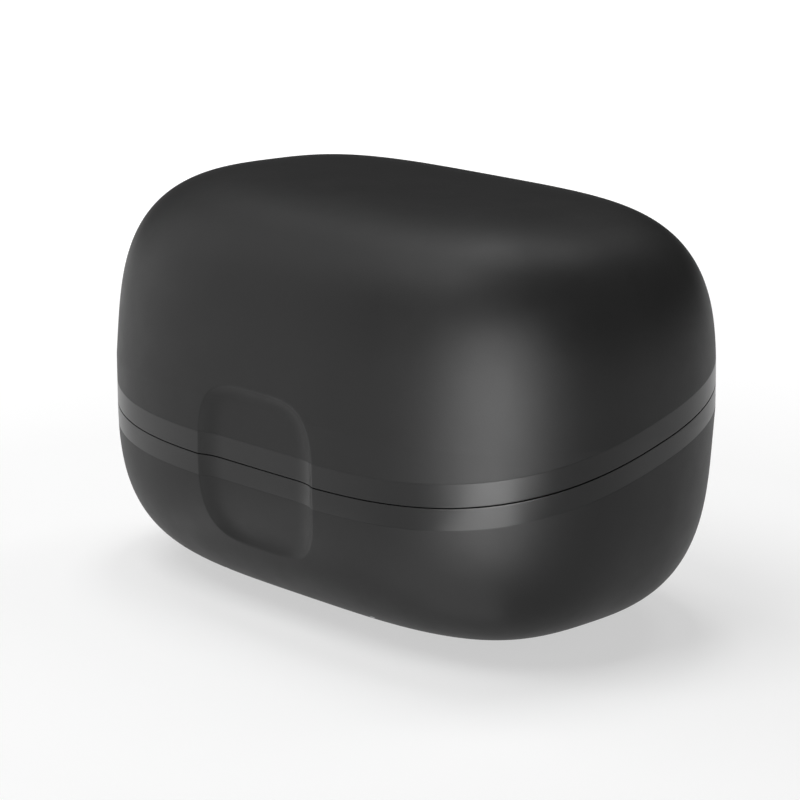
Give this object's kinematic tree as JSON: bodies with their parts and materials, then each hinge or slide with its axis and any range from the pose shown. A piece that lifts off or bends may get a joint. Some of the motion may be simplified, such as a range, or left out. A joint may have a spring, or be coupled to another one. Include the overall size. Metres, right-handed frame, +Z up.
{
  "type": "hearing aid charger",
  "caption": "Rounded portable clamshell charger for two hearing aids, with a hinged lid, a slanted seam, a finger scoop, charging wells inside and a socket at the back.",
  "frame": {"origin": "middle of the resting face of the foot pad", "axes": "+X along the long side, -Y towards the finger scoop at the front, +Z up"},
  "size_m": [0.1, 0.0687, 0.0661],
  "materials": {
    "case_shell": "fine matte texture, dark charcoal",
    "case_rim": "satin to gloss, dark charcoal",
    "liner_plastic": "matte",
    "soft_pad": "soft matte",
    "foot_rubber": "matte",
    "plated_magnet": "bright plating",
    "steel": "bright",
    "weight_iron": "plain",
    "tray_plastic": "satin",
    "contact_gold": "gold plated",
    "board_laminate": "satin solder mask",
    "chip_black": "matte",
    "button_plastic": "satin",
    "lamp_resin": "clear resin over phosphor",
    "guide_clear": "frosted clear plastic",
    "tape_foam": "foam",
    "cell_foil": "laminated foil"
  },
  "bodies": {
    "base": {"base_shell": "case_shell", "base_rim": "case_rim", "deck": "liner_plastic", "foot_pad": "foot_rubber", "base_magnets": "plated_magnet", "hinge_pin": "steel", "deck_screws": "steel", "weight_screws": "steel", "contact_board_screws": "steel", "lamp_board_screws": "steel", "check_switch": "steel", "socket_housing": "steel", "balance_weight": "weight_iron", "tray_left": "tray_plastic", "tray_right": "tray_plastic", "contact_barrels_left": "contact_gold", "contact_barrels_right": "contact_gold", "contact_board": "board_laminate", "lamp_board": "board_laminate", "main_board": "board_laminate", "board_parts": "chip_black", "socket_core": "chip_black", "lamps": "lamp_resin", "light_guides": "guide_clear", "cell_tape": "tape_foam", "battery_cell": "cell_foil"},
    "lid": {"lid_shell": "case_shell", "lid_rim": "case_rim", "lid_liner": "liner_plastic", "keeper_left": "soft_pad", "keeper_right": "soft_pad", "lid_magnets": "plated_magnet"},
    "button": {"check_button": "button_plastic", "switch_actuator": "chip_black"},
    "contact_left_front": {"contact_pin_left_front": "contact_gold"},
    "contact_left_rear": {"contact_pin_left_rear": "contact_gold"},
    "contact_right_front": {"contact_pin_right_front": "contact_gold"},
    "contact_right_rear": {"contact_pin_right_rear": "contact_gold"}
  },
  "joints": [
    {"name": "lid_hinge", "type": "hinge", "parent": "base", "child": "lid", "pos_m": [0, 0.03262, 0.04149], "axis": [-1, 0, 0], "range_deg": [0, 95]},
    {"name": "button_press", "type": "slide", "parent": "base", "child": "button", "axis": [0, 0.2436, -0.9699], "range_m": [0, 0.0004], "stiffness_N_per_m": 2500, "springref_m": -0.0002},
    {"name": "contact_left_front_travel", "type": "slide", "parent": "base", "child": "contact_left_front", "axis": [0, 0.2436, -0.9699], "range_m": [0, 0.001], "stiffness_N_per_m": 400, "springref_m": -0.0003},
    {"name": "contact_left_rear_travel", "type": "slide", "parent": "base", "child": "contact_left_rear", "axis": [0, 0.2436, -0.9699], "range_m": [0, 0.001], "stiffness_N_per_m": 400, "springref_m": -0.0003},
    {"name": "contact_right_front_travel", "type": "slide", "parent": "base", "child": "contact_right_front", "axis": [0, 0.2436, -0.9699], "range_m": [0, 0.001], "stiffness_N_per_m": 400, "springref_m": -0.0003},
    {"name": "contact_right_rear_travel", "type": "slide", "parent": "base", "child": "contact_right_rear", "axis": [0, 0.2436, -0.9699], "range_m": [0, 0.001], "stiffness_N_per_m": 400, "springref_m": -0.0003}
  ]
}
